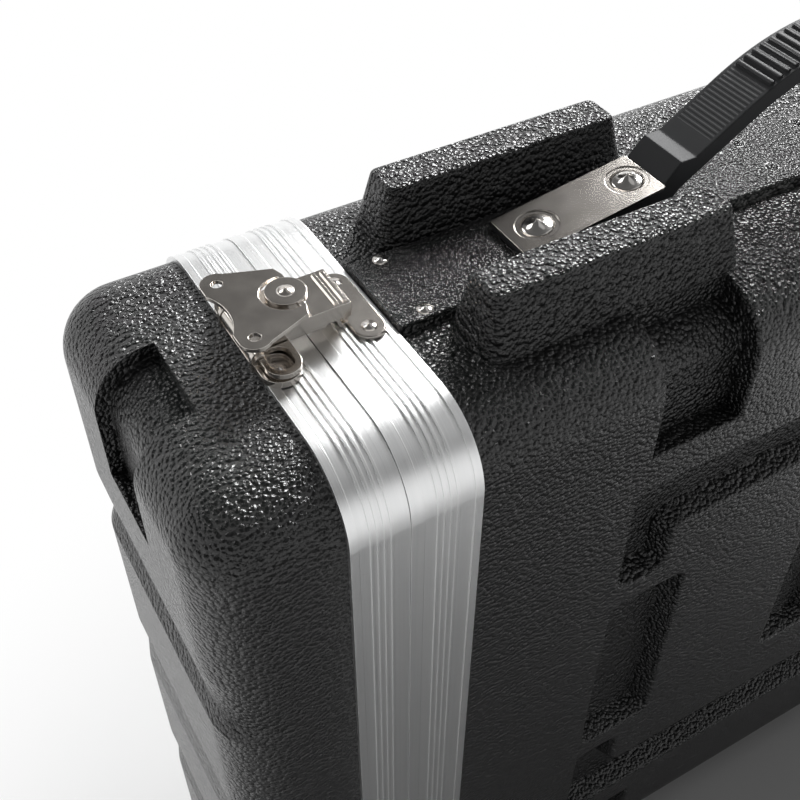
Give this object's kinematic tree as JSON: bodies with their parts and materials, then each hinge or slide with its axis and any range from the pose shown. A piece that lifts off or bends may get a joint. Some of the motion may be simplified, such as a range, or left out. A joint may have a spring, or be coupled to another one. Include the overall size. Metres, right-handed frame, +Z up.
{
  "type": "rack case",
  "caption": "Upright moulded rack case with aluminium bands, lift-off end lids, twist latches, a riveted strap handle, guards that serve as feet and rack rails inside.",
  "frame": {"origin": "on the floor, under the middle of the case, at the level of the lower guards' faces", "axes": "+Z up through the carrying handle, along the width of the rack; Y along the case's depth, with the front lid at -Y and the rear lid at +Y; X across the three rack units"},
  "size_m": [0.1932, 0.784, 0.6242],
  "materials": {
    "shell": "black moulded plastic with a coarse pebble grain",
    "band": "satin extruded aluminium, ribbed along its length",
    "nickel": "nickel-plated pressed steel",
    "steel": "zinc-plated steel",
    "strap": "satin moulded strap with cross ribs",
    "seal": "soft sealing cord"
  },
  "bodies": {
    "case": {"body_shell": "shell", "handle_strap": "strap", "handle_stiffener": "steel", "stiffener_rivets": "steel", "front_body_valance": "band", "front_handle_plate": "nickel", "front_handle_rivets": "nickel", "front_top_rack_rail": "steel", "front_top_rail_rivets": "steel", "front_top_latch_keeper": "nickel", "front_top_keeper_rivets": "nickel", "front_bottom_rack_rail": "steel", "front_bottom_rail_rivets": "steel", "front_bottom_latch_keeper": "nickel", "front_bottom_keeper_rivets": "nickel", "rear_body_valance": "band", "rear_handle_plate": "nickel", "rear_handle_rivets": "nickel", "rear_top_rack_rail": "steel", "rear_top_rail_rivets": "steel", "rear_top_latch_keeper": "nickel", "rear_top_keeper_rivets": "nickel", "rear_bottom_rack_rail": "steel", "rear_bottom_rail_rivets": "steel", "rear_bottom_latch_keeper": "nickel", "rear_bottom_keeper_rivets": "nickel"},
    "front_top_arm": {"front_top_latch_arm": "nickel"},
    "front_top_hook": {"front_top_latch_hook": "nickel"},
    "front_top_wing": {"front_top_latch_wing": "nickel", "front_top_latch_cam": "nickel"},
    "front_bottom_arm": {"front_bottom_latch_arm": "nickel"},
    "front_bottom_hook": {"front_bottom_latch_hook": "nickel"},
    "front_bottom_wing": {"front_bottom_latch_wing": "nickel", "front_bottom_latch_cam": "nickel"},
    "front_lid": {"front_lid_shell": "shell", "front_lid_valance": "band", "front_lid_seal": "seal", "front_top_latch_base": "nickel", "front_top_base_rivets": "nickel", "front_top_hinge_pin": "steel", "front_bottom_latch_base": "nickel", "front_bottom_base_rivets": "nickel", "front_bottom_hinge_pin": "steel"},
    "rear_top_arm": {"rear_top_latch_arm": "nickel"},
    "rear_top_hook": {"rear_top_latch_hook": "nickel"},
    "rear_top_wing": {"rear_top_latch_wing": "nickel", "rear_top_latch_cam": "nickel"},
    "rear_bottom_arm": {"rear_bottom_latch_arm": "nickel"},
    "rear_bottom_hook": {"rear_bottom_latch_hook": "nickel"},
    "rear_bottom_wing": {"rear_bottom_latch_wing": "nickel", "rear_bottom_latch_cam": "nickel"},
    "rear_lid": {"rear_lid_shell": "shell", "rear_lid_valance": "band", "rear_lid_seal": "seal", "rear_top_latch_base": "nickel", "rear_top_base_rivets": "nickel", "rear_top_hinge_pin": "steel", "rear_bottom_latch_base": "nickel", "rear_bottom_base_rivets": "nickel", "rear_bottom_hinge_pin": "steel"}
  },
  "joints": [
    {"name": "front_top_arm_swing", "type": "hinge", "parent": "front_lid", "child": "front_top_arm", "pos_m": [0, -0.328, 0.564], "axis": [1, 0, 0], "range_deg": [0, 55]},
    {"name": "front_top_wing_turn", "type": "hinge", "parent": "front_top_arm", "child": "front_top_wing", "pos_m": [0, -0.307, 0.5768], "axis": [0, 0, 1], "range_deg": [0, 180]},
    {"name": "front_top_hook_slide", "type": "slide", "parent": "front_top_arm", "child": "front_top_hook", "axis": [0, 1, 0], "range_m": [0, 0.00597]},
    {"name": "front_bottom_arm_swing", "type": "hinge", "parent": "front_lid", "child": "front_bottom_arm", "pos_m": [0, -0.328, 0.022], "axis": [-1, 0, 0], "range_deg": [0, 55]},
    {"name": "front_bottom_wing_turn", "type": "hinge", "parent": "front_bottom_arm", "child": "front_bottom_wing", "pos_m": [0, -0.307, 0.0092], "axis": [0, 0, -1], "range_deg": [0, 180]},
    {"name": "front_bottom_hook_slide", "type": "slide", "parent": "front_bottom_arm", "child": "front_bottom_hook", "axis": [0, 1, 0], "range_m": [0, 0.00597]},
    {"name": "front_lid_slide", "type": "slide", "parent": "case", "child": "front_lid", "axis": [0, -1, 0], "range_m": [0, 0.022]},
    {"name": "rear_top_arm_swing", "type": "hinge", "parent": "rear_lid", "child": "rear_top_arm", "pos_m": [0, 0.328, 0.564], "axis": [-1, 0, 0], "range_deg": [0, 55]},
    {"name": "rear_top_wing_turn", "type": "hinge", "parent": "rear_top_arm", "child": "rear_top_wing", "pos_m": [0, 0.307, 0.5768], "axis": [0, 0, 1], "range_deg": [0, 180]},
    {"name": "rear_top_hook_slide", "type": "slide", "parent": "rear_top_arm", "child": "rear_top_hook", "axis": [0, -1, 0], "range_m": [0, 0.00597]},
    {"name": "rear_bottom_arm_swing", "type": "hinge", "parent": "rear_lid", "child": "rear_bottom_arm", "pos_m": [0, 0.328, 0.022], "axis": [1, 0, 0], "range_deg": [0, 55]},
    {"name": "rear_bottom_wing_turn", "type": "hinge", "parent": "rear_bottom_arm", "child": "rear_bottom_wing", "pos_m": [0, 0.307, 0.0092], "axis": [0, 0, -1], "range_deg": [0, 180]},
    {"name": "rear_bottom_hook_slide", "type": "slide", "parent": "rear_bottom_arm", "child": "rear_bottom_hook", "axis": [0, -1, 0], "range_m": [0, 0.00597]},
    {"name": "rear_lid_slide", "type": "slide", "parent": "case", "child": "rear_lid", "axis": [0, 1, 0], "range_m": [0, 0.022]}
  ],
  "couplings": [
    {"joint": "front_top_arm_swing", "follows": "front_lid_slide", "rad_per_m": 43.6},
    {"joint": "front_top_wing_turn", "follows": "front_top_hook_slide", "rad_per_m": 526},
    {"joint": "front_bottom_arm_swing", "follows": "front_lid_slide", "rad_per_m": 43.6},
    {"joint": "front_bottom_wing_turn", "follows": "front_bottom_hook_slide", "rad_per_m": 526},
    {"joint": "rear_top_arm_swing", "follows": "rear_lid_slide", "rad_per_m": 43.6},
    {"joint": "rear_top_wing_turn", "follows": "rear_top_hook_slide", "rad_per_m": 526},
    {"joint": "rear_bottom_arm_swing", "follows": "rear_lid_slide", "rad_per_m": 43.6},
    {"joint": "rear_bottom_wing_turn", "follows": "rear_bottom_hook_slide", "rad_per_m": 526}
  ]
}
